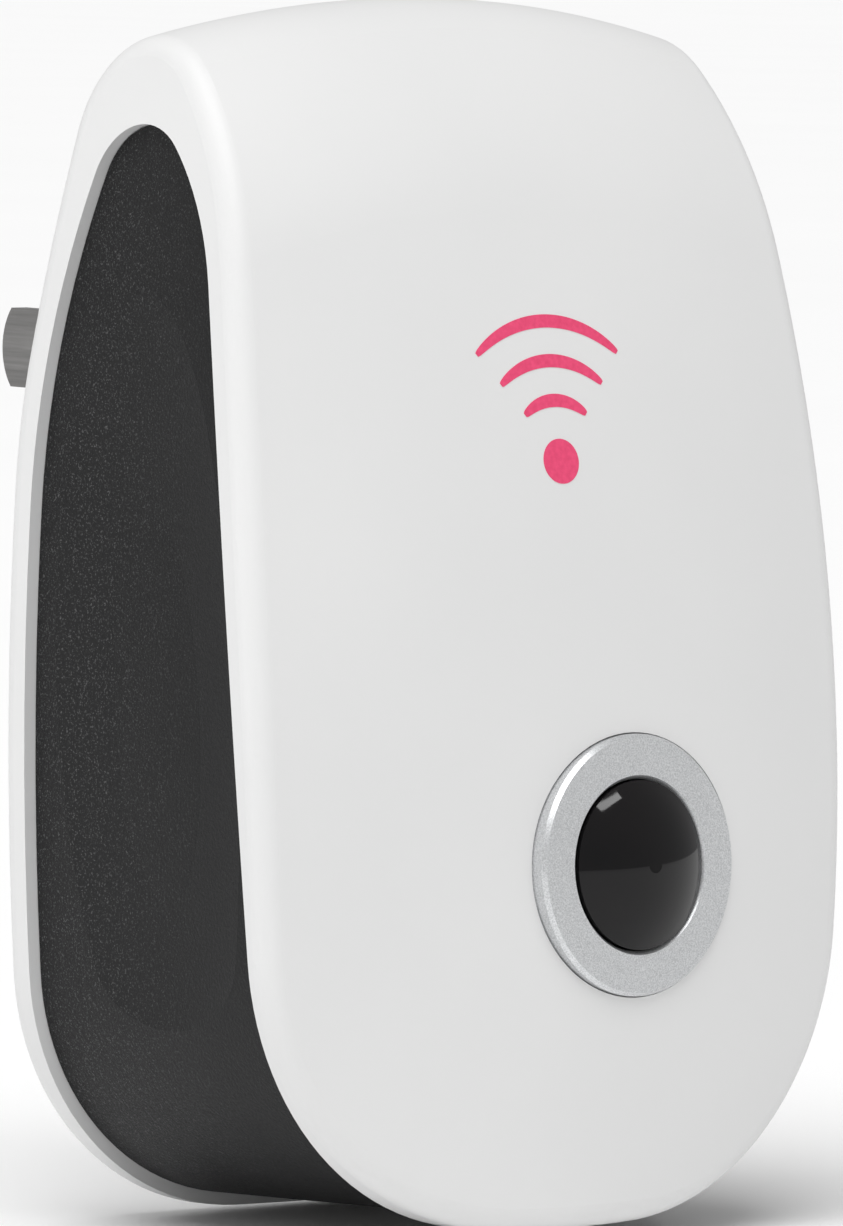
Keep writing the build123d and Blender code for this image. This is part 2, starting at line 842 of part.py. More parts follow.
# ---- plug ----
with BuildPart() as plug_base:
    with BuildSketch(front_view(-plug_proud)):
        with Locations((0, plug_height)):
            RectangleRounded(plug_width, plug_tall, plug_corner_radius)
    extrude(amount=plug_proud + pad_depth)
    fillet(plug_base.faces().sort_by(Axis.Y)[-1].edges(), plug_edge_radius)
    add(form, mode=Mode.SUBTRACT)
    with BuildSketch(front_view(-wall)):
        with Locations((0, plug_height)):
            Rectangle(spigot_width, spigot_tall)
    extrude(amount=wall + pad_depth)
    with BuildSketch(front_view(-plug_proud)):
        with Locations((0, plug_height)):
            with GridLocations(blade_spacing, 0, 2, 1):
                Rectangle(blade_thickness + 2 * blade_gap, blade_width + 2 * blade_gap)
    extrude(amount=plug_proud + pad_depth, mode=Mode.SUBTRACT)
    add(
        cylinder_ahead(
            plug_screw_spots, board_screw_radius, pad_depth - plug_screw_length, pad_depth
        ),
        mode=Mode.SUBTRACT,
    )
export(plug_base, "plug_base")


def blade(side, label):
    """A flat blade with a rounded tip, a hole near it and a soldering tail inside the case."""
    face = Plane(
        origin=(side * blade_spacing / 2 - blade_thickness / 2, 0, 0),
        x_dir=(0, 1, 0),
        z_dir=(1, 0, 0),
    )
    tail = -(plug_proud + pad_depth + blade_tail)
    with BuildPart() as prong:
        with BuildSketch(face):
            with BuildLine():
                Polyline(
                    (blade_length - blade_tip_drop, blade_width / 2),
                    (tail, blade_width / 2),
                    (tail, -blade_width / 2),
                    (blade_length - blade_tip_drop, -blade_width / 2),
                )
                ThreePointArc(
                    (blade_length - blade_tip_drop, -blade_width / 2),
                    (blade_length, 0),
                    (blade_length - blade_tip_drop, blade_width / 2),
                )
            make_face()
            with Locations((blade_length - blade_hole_from_tip, 0)):
                Circle(blade_hole_radius, mode=Mode.SUBTRACT)
            with Locations((tail + tail_hole_from_end, 0)):
                Circle(tail_hole_radius, mode=Mode.SUBTRACT)
        extrude(amount=blade_thickness)
    export(prong, label)


blade(-1, "left_blade")
blade(1, "right_blade")


def wire(points, label):
    """A round wire along straight runs joined by arcs as large as the runs allow."""
    places = [Vector(x, ahead(depth), up(height)) for x, depth, height in points]
    radii = []
    for before, corner, after in zip(places, places[1:], places[2:]):
        first = corner - before
        second = after - corner
        turn = radians(first.get_angle(second))
        radii.append(0.45 * min(first.length, second.length) / tan(turn / 2))
    with BuildPart() as lead:
        with BuildLine() as path:
            FilletPolyline(*places, radius=radii)
        run = path.wire()
        with BuildSketch(Plane(places[0], z_dir=run % 0)):
            Circle(wire_radius)
        sweep(path=run)
    section = lead.part.volume / (pi * wire_radius**2 * run.length)
    print(label, "radii", [round(radius, 1) for radius in radii], "volume ratio", round(section, 4))
    export(lead, label)


tail_end = pad_depth + blade_tail
wire(
    [
        (-blade_spacing / 2, tail_end - 0.8, plug_height - blade_width / 2),
        (-blade_spacing / 2 + 0.1, tail_end - 1.2, board_bottom + board_tall - 1.5),
        (-blade_spacing / 2 + 0.6, board_depth - solder_gap, board_bottom + board_tall - 6.5),
    ],
    "live_wire",
)
wire(
    [
        (blade_spacing / 2, tail_end - 0.8, plug_height - blade_width / 2),
        (blade_spacing / 2 + 0.1, tail_end - 1.2, board_bottom + board_tall - 1.0),
        (blade_spacing / 2 - 0.5, board_depth - solder_gap, board_bottom + board_tall - 6.0),
    ],
    "neutral_wire",
)
speaker_lead_foot = diaphragm_top + ceramic_thickness
for index, (x, label) in enumerate(zip(speaker_wire_x, ("speaker_wire_red", "speaker_wire_black"))):
    foot = speaker_lead_foot if index == 0 else diaphragm_top
    wire(
        [
            (x, speaker_depth, foot),
            (x + 0.1, speaker_depth - 0.1, board_bottom + 0.6),
            (x + 0.3, board_face + solder_gap, board_bottom + 2.4 - index * 0.2),
        ],
        label,
    )


# ---- screws ----
def pan_screws(spots, seat, length, radius, head_radius, head_height, label):
    """Pan-head screws driven towards the face, each with a crossed recess."""
    with BuildPart() as screws:
        with BuildSketch(front_view(seat)):
            with Locations(*spots):
                Circle(radius)
        extrude(amount=length)
        with BuildSketch(front_view(seat - head_height)):
            with Locations(*spots):
                Circle(head_radius)
        extrude(amount=head_height)
        heads = screws.edges().filter_by(GeomType.CIRCLE).group_by(Axis.Y)[-1]
        fillet(heads, head_height * 0.45)
        with BuildSketch(front_view(seat - head_height)):
            with Locations(*spots):
                Rectangle(head_radius * 1.1, head_radius * 0.28)
                Rectangle(head_radius * 0.28, head_radius * 1.1)
        extrude(amount=head_height * 0.55, mode=Mode.SUBTRACT)
    export(screws, label)


def rear_screws(spots, seat, length, radius, head_radius, head_height, label):
    """Pan-head screws driven towards the back from inside the case."""
    with BuildPart() as screws:
        with BuildSketch(front_view(seat - length)):
            with Locations(*spots):
                Circle(radius)
        extrude(amount=length)
        with BuildSketch(front_view(seat)):
            with Locations(*spots):
                Circle(head_radius)
        extrude(amount=head_height)
        heads = screws.edges().filter_by(GeomType.CIRCLE).group_by(Axis.Y)[0]
        fillet(heads, head_height * 0.45)
        with BuildSketch(front_view(seat + head_height * 0.45)):
            with Locations(*spots):
                Rectangle(head_radius * 1.1, head_radius * 0.28)
                Rectangle(head_radius * 0.28, head_radius * 1.1)
        extrude(amount=head_height, mode=Mode.SUBTRACT)
    export(screws, label)


pan_screws(
    case_screw_spots,
    case_screw_seat,
    case_screw_length,
    case_screw_radius,
    screw_head_radius,
    screw_head_height,
    "case_screws",
)
rear_screws(
    post_spots, board_face, board_screw_length, board_screw_radius, 2.0, 1.4, "board_screws"
)
rear_screws(
    plug_screw_spots, pad_depth, plug_screw_length, board_screw_radius, 2.0, 1.4, "plug_screws"
)

with BuildPart() as rating_label:
    with BuildSketch(front_view(-label_thickness)):
        with Locations((0, label_height)):
            RectangleRounded(label_width, label_tall, 1.5)
    extrude(amount=label_thickness)
export(rating_label, "rating_label")
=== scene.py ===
import math

import bpy
import numpy as np
from mathutils import Matrix, Vector


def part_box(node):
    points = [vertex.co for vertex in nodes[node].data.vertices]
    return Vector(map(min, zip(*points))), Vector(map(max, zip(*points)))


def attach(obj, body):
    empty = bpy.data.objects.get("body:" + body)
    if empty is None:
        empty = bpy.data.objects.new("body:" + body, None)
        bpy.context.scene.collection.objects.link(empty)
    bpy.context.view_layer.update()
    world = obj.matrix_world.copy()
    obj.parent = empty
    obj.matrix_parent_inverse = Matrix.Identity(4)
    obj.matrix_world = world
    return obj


# Plug-in ultrasonic pest repeller, in metres, in the CAD part's own frame: the origin is on the
# wall face between the blades, +Z is up and the case faces -Y.
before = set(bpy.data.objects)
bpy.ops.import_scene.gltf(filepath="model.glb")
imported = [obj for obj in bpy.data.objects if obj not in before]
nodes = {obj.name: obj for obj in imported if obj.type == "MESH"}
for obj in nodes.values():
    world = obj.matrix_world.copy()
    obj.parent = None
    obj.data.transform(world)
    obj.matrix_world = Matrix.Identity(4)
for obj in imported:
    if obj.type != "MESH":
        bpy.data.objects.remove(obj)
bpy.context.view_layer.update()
MM = 0.001

# ---- camera: long lens, from the left and a little above ----
CAMERA_PLACE = Vector((-0.4971, -0.6715, 0.0401))
CAMERA_AZIMUTH = 37.732
CAMERA_ELEVATION = 4.137
CAMERA_ROLL = 0.925
CAMERA_LENS = 308.05
SENSOR_HEIGHT = 36.0
CAMERA_NEAR, CAMERA_FAR = 0.01, 200


def add_camera():
    """A camera whose axis leans down by the elevation and whose frame turns by the roll."""
    azimuth, elevation, roll = (
        math.radians(angle) for angle in (CAMERA_AZIMUTH, CAMERA_ELEVATION, CAMERA_ROLL)
    )
    behind = Vector(
        (
            -math.sin(azimuth) * math.cos(elevation),
            -math.cos(azimuth) * math.cos(elevation),
            math.sin(elevation),
        )
    )
    level = (-behind).cross(Vector((0, 0, 1))).normalized()
    upright = level.cross(-behind)
    across = math.cos(roll) * level + math.sin(roll) * upright
    upward = -math.sin(roll) * level + math.cos(roll) * upright
    data = bpy.data.cameras.new("camera")
    data.sensor_fit = "VERTICAL"
    data.sensor_height = SENSOR_HEIGHT
    data.lens = CAMERA_LENS
    data.clip_start, data.clip_end = CAMERA_NEAR, CAMERA_FAR
    camera = bpy.data.objects.new("camera", data)
    turn = Matrix((across, upward, behind)).transposed().to_4x4()
    camera.matrix_world = Matrix.Translation(CAMERA_PLACE) @ turn
    bpy.context.scene.collection.objects.link(camera)
    bpy.context.scene.camera = camera


# ---- node helpers ----
# Sockets of the Mix node that carry its factor, its two colours and the colour it gives.
MIX_FACTOR, MIX_FIRST, MIX_SECOND, MIX_COLOUR = 0, 6, 7, 2
# Fractal noise stays mostly between these two values, so a colour runs its whole way there.
NOISE_LOW, NOISE_HIGH = 0.3, 0.7


class Finish:
    """A material under construction: its nodes, and short ways to add and join them."""

    def __init__(self, name, base, roughness, metallic=0.0):
        self.material = bpy.data.materials.new(name)
        self.material.use_nodes = True
        self.tree = self.material.node_tree
        self.shader = self.tree.nodes["Principled BSDF"]
        self.set("Base Color", (*base, 1))
        self.set("Roughness", roughness)
        self.set("Metallic", metallic)
        self.place = self.add("ShaderNodeTexCoord").outputs["Object"]

    def set(self, socket, value):
        self.shader.inputs[socket].default_value = value

    def add(self, kind, **settings):
        node = self.tree.nodes.new(kind)
        for key, value in settings.items():
            setattr(node, key, value)
        return node

    def join(self, output, target):
        self.tree.links.new(output, target)

    def noise(self, scale, detail=3.0, roughness=0.5, place=None):
        """Fractal noise in the piece's own metres."""
        node = self.add("ShaderNodeTexNoise")
        node.inputs["Scale"].default_value = scale
        node.inputs["Detail"].default_value = detail
        node.inputs["Roughness"].default_value = roughness
        self.join(place or self.place, node.inputs["Vector"])
        return node.outputs["Fac"]

    def cells(self, scale):
        """Distance from the middle of each cell of a loose pattern."""
        node = self.add("ShaderNodeTexVoronoi")
        node.inputs["Scale"].default_value = scale
        self.join(self.place, node.inputs["Vector"])
        return node.outputs["Distance"]

    def ramp(self, value, low, high, dark, light):
        """Greys or colours between two places of a value."""
        node = self.add("ShaderNodeValToRGB")
        node.color_ramp.elements[0].position = low
        node.color_ramp.elements[1].position = high
        node.color_ramp.elements[0].color = self.colour(dark)
        node.color_ramp.elements[1].color = self.colour(light)
        self.join(value, node.inputs["Fac"])
        return node.outputs["Color"]

    def patches(self, scale, detail, dark, light):
        """Soft patches that wander between two close colours."""
        return self.ramp(self.noise(scale, detail), NOISE_LOW, NOISE_HIGH, dark, light)

    @staticmethod
    def colour(value):
        """A grey from one number or a colour from three, with full opacity."""
        return (value, value, value, 1) if isinstance(value, (int, float)) else (*value, 1)

    def stretched(self, scale):
        """The object's place with each axis scaled, for brushed and layered patterns."""
        node = self.add("ShaderNodeMapping")
        node.inputs["Scale"].default_value = scale
        self.join(self.place, node.inputs["Vector"])
        return node.outputs["Vector"]

    def axis(self, name):
        """One coordinate of the object's place."""
        node = self.add("ShaderNodeSeparateXYZ")
        self.join(self.place, node.inputs["Vector"])
        return node.outputs[name]

    def maths(self, operation, *values):
        node = self.add("ShaderNodeMath", operation=operation)
        for index, value in enumerate(values):
            if isinstance(value, (int, float)):
                node.inputs[index].default_value = value
            else:
                self.join(value, node.inputs[index])
        return node.outputs[0]

    def mix(self, factor, first, second):
        """The first colour where the factor is 0 and the second where it is 1."""
        node = self.add("ShaderNodeMix", data_type="RGBA")
        self.join(factor, node.inputs[MIX_FACTOR])
        for socket, value in ((MIX_FIRST, first), (MIX_SECOND, second)):
            if isinstance(value, tuple):
                node.inputs[socket].default_value = self.colour(value)
            else:
                self.join(value, node.inputs[socket])
        return node.outputs[MIX_COLOUR]

    def base(self, colour):
        self.join(colour, self.shader.inputs["Base Color"])

    def rough(self, value, low, high):
        """Roughness that wanders between two values."""
        node = self.add("ShaderNodeMapRange")
        node.inputs["To Min"].default_value = low
        node.inputs["To Max"].default_value = high
        self.join(value, node.inputs["Value"])
        self.join(node.outputs["Result"], self.shader.inputs["Roughness"])

    def bump(self, height, distance, strength):
        """Relief of this depth in metres."""
        node = self.add("ShaderNodeBump")
        node.inputs["Distance"].default_value = distance
        node.inputs["Strength"].default_value = strength
        self.join(height, node.inputs["Height"])
        self.join(node.outputs["Normal"], self.shader.inputs["Normal"])


# ---- finishes ----
# Grain, flakes and painted glints, in features to the metre.
MOULD_GRAIN = 4200
FRAME_GRAIN = 3600
FRAME_GLINT = 5600
BEZEL_FLAKE = 9000
# The painted glints on the side frame are lighter specks where the light catches its grain. They
# fade towards its front: a slope to the metre, and a start.
GLINT_FADE, GLINT_START = 30.0, 1.45
COPPER_PITCH = 0.0003
RESISTOR_BAND_PITCH = 0.0011
PAD_PITCH_SCALE = 420
TURN_DEPTH = 0.0001
# The label's border, as shares of the label's half sides: its outer and inner edge.
BORDER_OUTER, BORDER_INNER, BORDER_EDGE = 0.9, 0.86, 0.01


def white_shell():
    """Satin white moulding with a fine eroded grain."""
    f = Finish("white_shell", (0.76, 0.76, 0.757), 0.42)
    f.set("Specular IOR Level", 0.4)
    f.base(f.patches(35, 2, (0.735, 0.736, 0.735), (0.76, 0.76, 0.758)))
    grain = f.noise(MOULD_GRAIN, 4)
    f.rough(grain, 0.38, 0.5)
    f.bump(grain, 0.00002, 0.25)
    return f.material


def black_frame():
    """Matt black moulding with a coarse grain, and lighter specks painted as glints, more towards
    its rear, where the light catches them.
    """
    f = Finish("black_frame", (0.01, 0.01, 0.0105), 0.5)
    f.set("Specular IOR Level", 0.2)
    grain = f.noise(FRAME_GRAIN, 4, 0.65)
    # Painted glints: lighter specks in the base colour, more of them towards the rear, where the
    # light catches the grain.
    painted_glint = f.ramp(f.noise(FRAME_GLINT, 3, 0.75), 0.56, 0.68, 0.0, 1.0)
    glint_fade = f.maths("MULTIPLY_ADD", f.axis("Y"), GLINT_FADE, GLINT_START)
    lit_rear = f.ramp(glint_fade, 0.3, 0.75, 0.15, 1.0)
    painted_glints = f.maths("MULTIPLY", painted_glint, lit_rear)
    shade = f.patches(30, 2, (0.008, 0.008, 0.0085), (0.012, 0.012, 0.0125))
    f.base(f.mix(painted_glints, shade, (0.11, 0.11, 0.112)))
    f.rough(grain, 0.38, 0.62)
    f.bump(grain, 0.00007, 0.8)
    return f.material


def silver_bezel():
    """Satin metallic paint with fine flakes."""
    f = Finish("silver_bezel", (0.55, 0.56, 0.57), 0.36, 0.75)
    flake = f.noise(BEZEL_FLAKE, 2, 0.6)
    f.base(f.ramp(flake, 0.35, 0.65, (0.52, 0.53, 0.54), (0.76, 0.77, 0.78)))
    f.rough(f.noise(3000, 3), 0.3, 0.45)
    f.bump(flake, 0.00002, 0.35)
    return f.material


def dark_lens():
    """Glossy smoked plastic, so dark that it reads as black."""
    f = Finish("dark_lens", (0.004, 0.004, 0.005), 0.05)
    f.set("Specular IOR Level", 0.28)
    f.base(f.patches(120, 2, (0.003, 0.003, 0.0035), (0.006, 0.005, 0.0055)))
    f.rough(f.noise(600, 3), 0.03, 0.08)
    f.bump(f.noise(160, 2), 0.00002, 0.2)
    return f.material


def plastic(name, low, high, roughness, grain_scale=3000, depth=0.00003):
    """A moulded or cast plastic: two close colours, wandering gloss and a fine grain."""
    f = Finish(name, low, roughness)
    f.base(f.patches(60, 3, low, high))
    grain = f.noise(grain_scale, 3)
    f.rough(grain, roughness - 0.06, roughness + 0.08)
    f.bump(grain, depth, 0.4)
    return f.material


def metal(name, low, high, roughness, brush):
    """A brushed or rolled metal: its streaks run along the axis with the small scale."""
    f = Finish(name, low, roughness, 1.0)
    streaks = f.noise(1500, 4, 0.6, f.stretched(brush))
    f.base(f.ramp(streaks, NOISE_LOW, NOISE_HIGH, low, high))
    f.rough(streaks, roughness - 0.08, roughness + 0.1)
    f.bump(streaks, 0.00001, 0.4)
    return f.material


def winding(name, axis, pitch, low, high, roughness):
    """Fine turns of bare or enamelled wire laid side by side along an axis."""
    f = Finish(name, low, roughness, 1.0)
    phase = f.maths("MULTIPLY", f.axis(axis), 2 * math.pi / pitch)
    wave = f.maths("MULTIPLY_ADD", f.maths("SINE", phase), 0.5, 0.5)
    f.base(f.ramp(wave, 0.1, 0.8, low, high))
    f.rough(f.noise(2500, 2), roughness - 0.05, roughness + 0.1)
    f.bump(wave, TURN_DEPTH, 0.8)
    return f.material


def board():
    """Green solder mask with tinned pads in a loose grid under it."""
    f = Finish("board", (0.012, 0.09, 0.03), 0.35)
    pads = f.ramp(f.cells(PAD_PITCH_SCALE), 0.16, 0.2, 1.0, 0.0)
    tracks = f.ramp(f.noise(260, 1), 0.5, 0.52, 0.0, 1.0)
    mask = f.mix(tracks, (0.010, 0.075, 0.026), (0.016, 0.125, 0.042))
    f.base(f.mix(pads, mask, (0.42, 0.42, 0.4)))
    f.rough(f.noise(900, 2), 0.28, 0.42)
    f.bump(tracks, 0.00004, 0.5)
    return f.material


def resistor_body():
    """Beige body with painted bands round it."""
    f = Finish("resistor_body", (0.55, 0.42, 0.26), 0.4)
    phase = f.maths("MULTIPLY", f.axis("X"), 2 * math.pi / RESISTOR_BAND_PITCH)
    bands = f.ramp(f.maths("SINE", phase), 0.55, 0.62, 0.0, 1.0)
    body = f.patches(300, 3, (0.52, 0.4, 0.24), (0.6, 0.47, 0.3))
    f.base(f.mix(bands, body, (0.16, 0.03, 0.02)))
    f.rough(f.noise(1200, 2), 0.32, 0.46)
    f.bump(f.noise(1200, 2), 0.00003, 0.4)
    return f.material


def lamp(name, low, high):
    """Tinted clear epoxy."""
    f = Finish(name, low, 0.12)
    f.set("IOR", 1.52)
    f.set("Transmission Weight", 0.5)
    f.base(f.patches(400, 2, low, high))
    f.rough(f.noise(500, 2), 0.08, 0.18)
    f.bump(f.noise(500, 2), 0.00002, 0.3)
    return f.material


def label_film():
    """Silvery film with a plain dark border and no lettering."""
    f = Finish("label_film", (0.7, 0.7, 0.71), 0.38)
    low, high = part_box("rating_label")
    middle = (low + high) / 2
    across = f.maths("ABSOLUTE", f.maths("SUBTRACT", f.axis("X"), middle.x))
    upright = f.maths("ABSOLUTE", f.maths("SUBTRACT", f.axis("Z"), middle.z))
    edge = f.maths(
        "MAXIMUM",
        f.maths("DIVIDE", across, (high.x - low.x) / 2),
        f.maths("DIVIDE", upright, (high.z - low.z) / 2),
    )
    inside = f.ramp(edge, BORDER_INNER, BORDER_INNER + BORDER_EDGE, 0.0, 1.0)
    outside = f.ramp(edge, BORDER_OUTER, BORDER_OUTER + BORDER_EDGE, 1.0, 0.0)
    border = f.maths("MULTIPLY", inside, outside)
    film = f.patches(200, 3, (0.66, 0.66, 0.67), (0.72, 0.72, 0.73))
    f.base(f.mix(border, film, (0.06, 0.06, 0.065)))
    f.rough(f.noise(2000, 2), 0.3, 0.45)
    f.bump(f.noise(900, 2), 0.00003, 0.3)
    return f.material


def pink_ink():
    """Screen-printed pink ink, slightly uneven."""
    f = Finish("pink_ink", (0.80, 0.045, 0.15), 0.45)
    f.base(f.patches(2500, 3, (0.74, 0.05, 0.15), (0.84, 0.07, 0.19)))
    f.rough(f.noise(3000, 2), 0.38, 0.52)
    f.bump(f.noise(4000, 3), 0.00001, 0.3)
    return f.material


def paint_nodes():
    """Gives every CAD node its finish."""
    finishes = {
        "front_shell": white_shell(),
        "side_frame": black_frame(),
        "bezel_ring": silver_bezel(),
        "lens_dome": dark_lens(),
        "red_lamp": lamp("red_lamp", (0.6, 0.02, 0.01), (0.75, 0.04, 0.03)),
        "blue_lamp": lamp("blue_lamp", (0.02, 0.1, 0.6), (0.04, 0.16, 0.75)),
        "main_board": board(),
        "resistors": resistor_body(),
        "rating_label": label_film(),
        "coil_winding": winding(
            "copper", "Y", COPPER_PITCH, (0.3, 0.09, 0.03), (0.82, 0.36, 0.16), 0.3
        ),
    }
    # Node: name of the finish, darker colour, lighter colour, roughness, grain, depth of grain.
    plastics = {
        "light_baffle": ("black_inner", (0.015, 0.015, 0.016), (0.025, 0.025, 0.026), 0.6),
        "film_capacitor": ("film_box", (0.62, 0.4, 0.03), (0.7, 0.46, 0.05), 0.4),
        "smoothing_capacitor": ("can_sleeve", (0.012, 0.016, 0.05), (0.02, 0.026, 0.08), 0.3),
        "rectifier_diodes": ("black_component", (0.014, 0.014, 0.015), (0.03, 0.03, 0.03), 0.45),
        "ceramic_capacitors": ("blue_disc", (0.02, 0.12, 0.4), (0.04, 0.18, 0.5), 0.4),
        "coil_core": ("ferrite", (0.03, 0.03, 0.032), (0.055, 0.055, 0.058), 0.5, 1800),
        "speaker_gasket": ("gasket", (0.02, 0.02, 0.02), (0.05, 0.05, 0.05), 0.85, 900, 0.0002),
        "piezo_ceramic": ("ceramic", (0.6, 0.58, 0.52), (0.72, 0.7, 0.64), 0.5),
        "plug_base": (
            "plug_plastic", (0.72, 0.72, 0.717), (0.75, 0.75, 0.747), 0.42, MOULD_GRAIN
        ),
        "live_wire": ("black_wire", (0.015, 0.015, 0.015), (0.03, 0.03, 0.03), 0.5),
        "neutral_wire": ("white_wire", (0.72, 0.72, 0.7), (0.8, 0.8, 0.78), 0.45),
        "speaker_wire_red": ("red_wire", (0.45, 0.015, 0.01), (0.55, 0.03, 0.02), 0.45),
    }
    # Node: name of the finish, darker colour, lighter colour, roughness, scale of the brushing.
    metals = {
        "brass_diaphragm": ("brass", (0.62, 0.42, 0.14), (0.78, 0.56, 0.24), 0.3, (1, 0.05, 1)),
        "left_blade": ("blade_metal", (0.17, 0.168, 0.165), (0.3, 0.295, 0.29), 0.3, (1, 0.04, 1)),
        "case_screws": ("screw_steel", (0.3, 0.3, 0.31), (0.5, 0.5, 0.52), 0.35, (1, 0.3, 1)),
    }
    finishes.update({node: plastic(*look) for node, look in plastics.items()})
    finishes.update({node: metal(*look) for node, look in metals.items()})
    alike = {
        "rear_shell": "front_shell",
        "reservoir_capacitor": "smoothing_capacitor",
        "fusible_resistor": "resistors",
        "varistor": "ceramic_capacitors",
        "driver_chip": "rectifier_diodes",
        "transistors": "rectifier_diodes",
        "speaker_housing": "light_baffle",
        "diaphragm_clamp": "light_baffle",
        "speaker_cap": "light_baffle",
        "right_blade": "left_blade",
        "speaker_wire_black": "live_wire",
        "board_screws": "case_screws",
        "plug_screws": "case_screws",
    }
    for node, twin in alike.items():
        finishes[node] = finishes[twin]
    for node, finish in finishes.items():
        slots = nodes[node].data.materials
        if not slots:
            slots.append(finish)
        for index in range(len(slots)):
            slots[index] = finish


# ---- the crowned face, as a formula, in millimetres from the case's own back and underside ----
AXIS_DEPTH, AXIS_HEIGHT, AXIS_DIP = 13.5, -3.1, math.radians(16.7)
CASE_DEPTH, DEEPEST_HEIGHT = 36.9, 12.9
FACE_RADIUS = 236.93
FACE_CENTRE = (CASE_DEPTH - FACE_RADIUS, DEEPEST_HEIGHT)
PLUG_PROUD, PLUG_HEIGHT = 14.0, 65.9
FIRST_DEPTH = 36.0
NEWTON_ROUNDS = 12


def face_depth(x, height):
    """Depth of the front face in millimetres, for whole arrays of places.

    The face is a circular arc swept round an axis that dips towards the face, so a point is on it
    when its distance along and from that axis satisfies the arc's circle. Newton's rule solves
    that for the depth.
    """
    cos_dip, sin_dip = math.cos(AXIS_DIP), math.sin(AXIS_DIP)
    centre_depth = FACE_CENTRE[0] - AXIS_DEPTH
    centre_rise = FACE_CENTRE[1] - AXIS_HEIGHT
    centre_along = centre_depth * cos_dip - centre_rise * sin_dip
    centre_out = centre_depth * sin_dip + centre_rise * cos_dip
    depth = np.full(x.shape, FIRST_DEPTH)
    for _ in range(NEWTON_ROUNDS):
        ahead = depth - AXIS_DEPTH
        rise = height - AXIS_HEIGHT
        along = ahead * cos_dip - rise * sin_dip
        level = ahead * sin_dip + rise * cos_dip
        out = np.sqrt(level**2 + x**2)
        miss = (along - centre_along) ** 2 + (out - centre_out) ** 2 - FACE_RADIUS**2
        slope = 2 * (along - centre_along) * cos_dip
        slope = slope + 2 * (out - centre_out) * level / out * sin_dip
        depth = depth - miss / slope
    return depth


def on_face(x, height, lift):
    """Points this far ahead of the face, in metres."""
    depth = face_depth(x, height) + lift
    return np.stack([x, -PLUG_PROUD - depth, height - PLUG_HEIGHT], axis=-1) * MM


def slab_faces(rows, columns, start, closed):
    """Quads of a closed slab whose two skins are grids, one after the other in the vertex list.

    The skins are joined round their rim, or along both rims where the grid closes on itself.
    """
    front = start + np.arange(rows * columns).reshape(rows, columns)
    back = front + rows * columns
    here = np.arange(columns if closed else columns - 1)
    there = (here + 1) % columns

    def quads(a, b, c, d):
        return np.stack([a, b, c, d], axis=-1).reshape(-1, 4)

    inner, outer = front[:-1], front[1:]
    behind_inner, behind_outer = back[:-1], back[1:]
    parts = [
        quads(inner[:, here], inner[:, there], outer[:, there], outer[:, here]),
        quads(
            behind_inner[:, here], behind_outer[:, here], behind_outer[:, there],
            behind_inner[:, there],
        ),
        quads(front[0, here], back[0, here], back[0, there], front[0, there]),
        quads(front[-1, here], front[-1, there], back[-1, there], back[-1, here]),
    ]
    if not closed:
        parts.append(quads(inner[:, 0], outer[:, 0], behind_outer[:, 0], behind_inner[:, 0]))
        parts.append(quads(inner[:, -1], behind_inner[:, -1], behind_outer[:, -1], outer[:, -1]))
    return np.concatenate(parts)


INK_LIFT, INK_SINK = 0.03, -0.12
EMITTER_X, EMITTER_HEIGHT = 0.0, 60.0
EMITTER_RADIUS, EMITTER_PINHOLE = 1.7, 0.02
WAVE_RADII = (4.6, 7.6, 10.6)
WAVE_SPREAD = 40
STROKE = 1.0
STROKE_END = 0.35
MARK_STEPS, MARK_ACROSS = 64, 5


def printed_mark():
    """A small round emitter with three waves opening upwards, as a thin layer of ink on the face.

    Each wave is an arc of a circle round the emitter, and its stroke narrows towards both ends.
    The emitter is a disc. Both are grids over an angle and a radius, and each place of a grid is
    carried onto the face's formula, a little ahead of it for one skin and a little behind it for
    the other. Angles run clockwise, so that the skins face outward.
    """
    fan = [math.radians(90 + WAVE_SPREAD), math.radians(90 - WAVE_SPREAD)]
    swell = np.sin(np.linspace(0, math.pi, MARK_STEPS))[None, :] ** 0.5
    taper = STROKE_END + (1 - STROKE_END) * swell
    side = np.linspace(-0.5, 0.5, MARK_ACROSS)[:, None]
    wave_angle = np.linspace(*fan, MARK_STEPS)[None, :]
    grids = [(radius + side * STROKE * taper, wave_angle, False) for radius in WAVE_RADII]
    whole_turn = np.linspace(2 * math.pi, 0, MARK_STEPS, endpoint=False)[None, :]
    disc = np.linspace(EMITTER_PINHOLE, EMITTER_RADIUS, MARK_ACROSS)[:, None]
    grids.append((disc, whole_turn, True))
    vertices, faces, start = [], [], 0
    for radius, angle, closed in grids:
        x = EMITTER_X + radius * np.cos(angle)
        height = EMITTER_HEIGHT + radius * np.sin(angle)
        for lift in (INK_LIFT, INK_SINK):
            vertices.append(on_face(x, height, lift).reshape(-1, 3))
        faces.append(slab_faces(MARK_ACROSS, MARK_STEPS, start, closed))
        start += 2 * MARK_ACROSS * MARK_STEPS
    mesh = bpy.data.meshes.new("printed_mark")
    mesh.from_pydata(np.concatenate(vertices).tolist(), [], np.concatenate(faces).tolist())
    mesh.validate()
    mesh.materials.append(pink_ink())
    mark = bpy.data.objects.new("printed_mark", mesh)
    bpy.context.scene.collection.objects.link(mark)
    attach(mark, "root")


# ---- studio ----
FLOOR_HALF = 40.0
FLOOR_GAP = 0.0004
WHITE = (1, 1, 1, 1)
AMBIENT = 0.42
BACKDROP = 1.0
CASE_MIDDLE = Vector((0, -0.03, -0.02))
# A wide, even light from far away: where it comes from, how many degrees wide, how strong.
SKY_PANEL = ((-0.36, -0.28, 1.0), 50, 2.08)
# Soft rectangles: place, sides in metres, watts, degrees turned about the light's own axis.
PANELS = {
    "left_panel": ((-0.95, -0.15, 0.45), (0.35, 0.7), 0.35, 0),
    "low_panel": ((-0.8, 0.12, 0.02), (0.6, 0.12), 0.8, 0),
    "window": ((0.345, -0.75, 0.60), (0.34, 0.05), 0.5, 10),
}


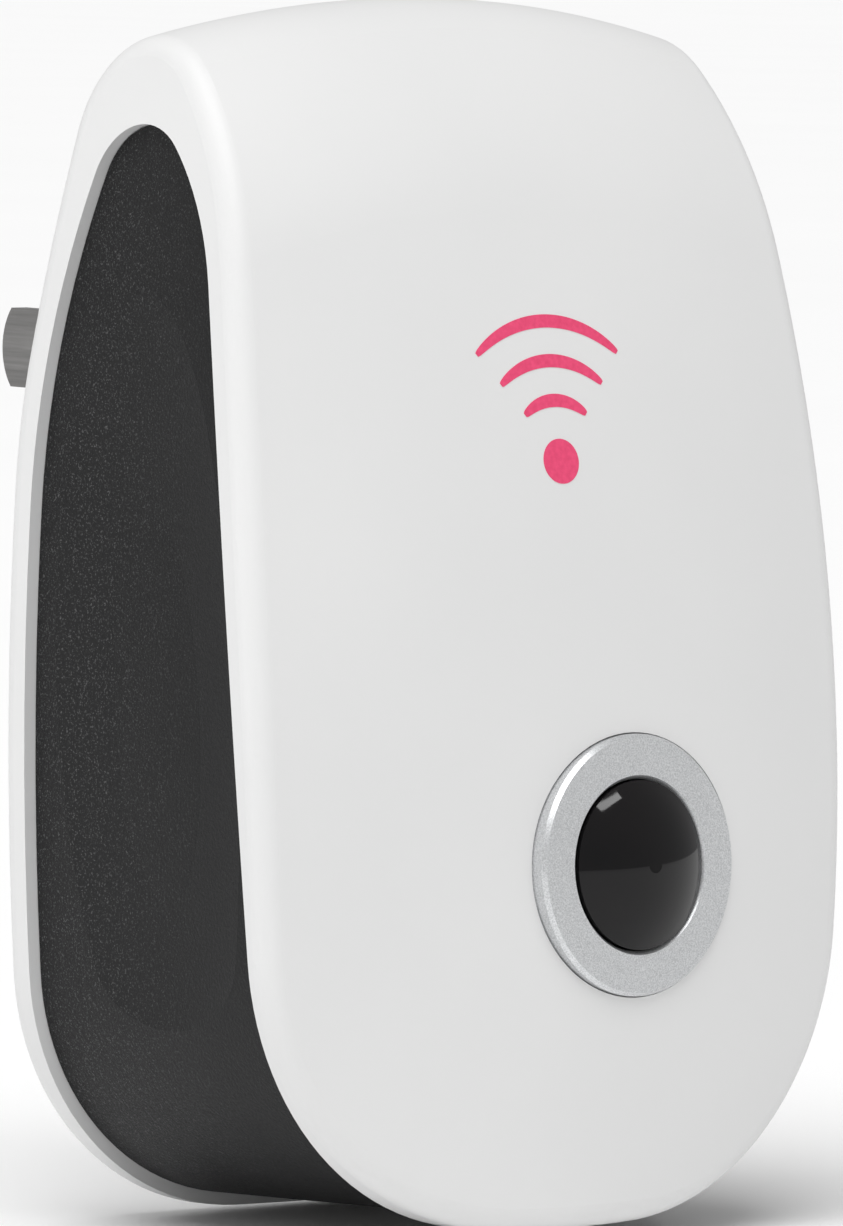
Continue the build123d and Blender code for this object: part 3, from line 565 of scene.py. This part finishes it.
def add_panel(name, place, size, power, roll):
    """A rectangular soft light that looks at the middle of the case."""
    data = bpy.data.lights.new(name, "AREA")
    data.shape = "RECTANGLE"
    data.size, data.size_y = size
    data.energy = power
    light = bpy.data.objects.new(name, data)
    light.location = place
    aim = (CASE_MIDDLE - Vector(place)).to_track_quat("-Z", "Y").to_matrix()
    light.rotation_euler = (aim @ Matrix.Rotation(math.radians(roll), 3, "Z")).to_euler()
    bpy.context.scene.collection.objects.link(light)


def add_sun(name, towards, angle, strength):
    """A very wide, even light from far away, so that the whole floor is as bright as the case."""
    data = bpy.data.lights.new(name, "SUN")
    data.angle = math.radians(angle)
    data.energy = strength
    sun = bpy.data.objects.new(name, data)
    sun.rotation_euler = (-Vector(towards)).to_track_quat("-Z", "Y").to_euler()
    bpy.context.scene.collection.objects.link(sun)


def add_floor():
    """A pale floor just under the case."""
    level = min(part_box(shell)[0].z for shell in ("front_shell", "rear_shell")) - FLOOR_GAP
    signs = ((-1, -1), (1, -1), (1, 1), (-1, 1))
    corners = [(x * FLOOR_HALF, y * FLOOR_HALF, level) for x, y in signs]
    mesh = bpy.data.meshes.new("floor")
    mesh.from_pydata(corners, [], [(0, 1, 2, 3)])
    floor = bpy.data.objects.new("floor", mesh)
    f = Finish("floor", (0.97, 0.97, 0.97), 0.9)
    f.base(f.patches(8, 2, (0.965, 0.965, 0.965), (0.975, 0.975, 0.975)))
    mesh.materials.append(f.material)
    bpy.context.scene.collection.objects.link(floor)


def add_surroundings():
    """Dim white surroundings that light the object, with a full white backdrop behind it."""
    world = bpy.data.worlds.new("studio")
    world.use_nodes = True
    tree = world.node_tree
    dim = tree.nodes["Background"]
    white = tree.nodes.new("ShaderNodeBackground")
    for background, strength in ((dim, AMBIENT), (white, BACKDROP)):
        background.inputs["Color"].default_value = WHITE
        background.inputs["Strength"].default_value = strength
    seen = tree.nodes.new("ShaderNodeLightPath")
    both = tree.nodes.new("ShaderNodeMixShader")
    tree.links.new(seen.outputs["Is Camera Ray"], both.inputs["Fac"])
    tree.links.new(dim.outputs["Background"], both.inputs[1])
    tree.links.new(white.outputs["Background"], both.inputs[2])
    tree.links.new(both.outputs["Shader"], tree.nodes["World Output"].inputs["Surface"])
    bpy.context.scene.world = world


def studio():
    """The floor, the surroundings, the lights and a plain view of their colours."""
    add_floor()
    add_surroundings()
    bpy.context.scene.view_settings.view_transform = "Standard"
    add_sun("sky_panel", *SKY_PANEL)
    for name, panel in PANELS.items():
        add_panel(name, *panel)


add_camera()
studio()
paint_nodes()
printed_mark()
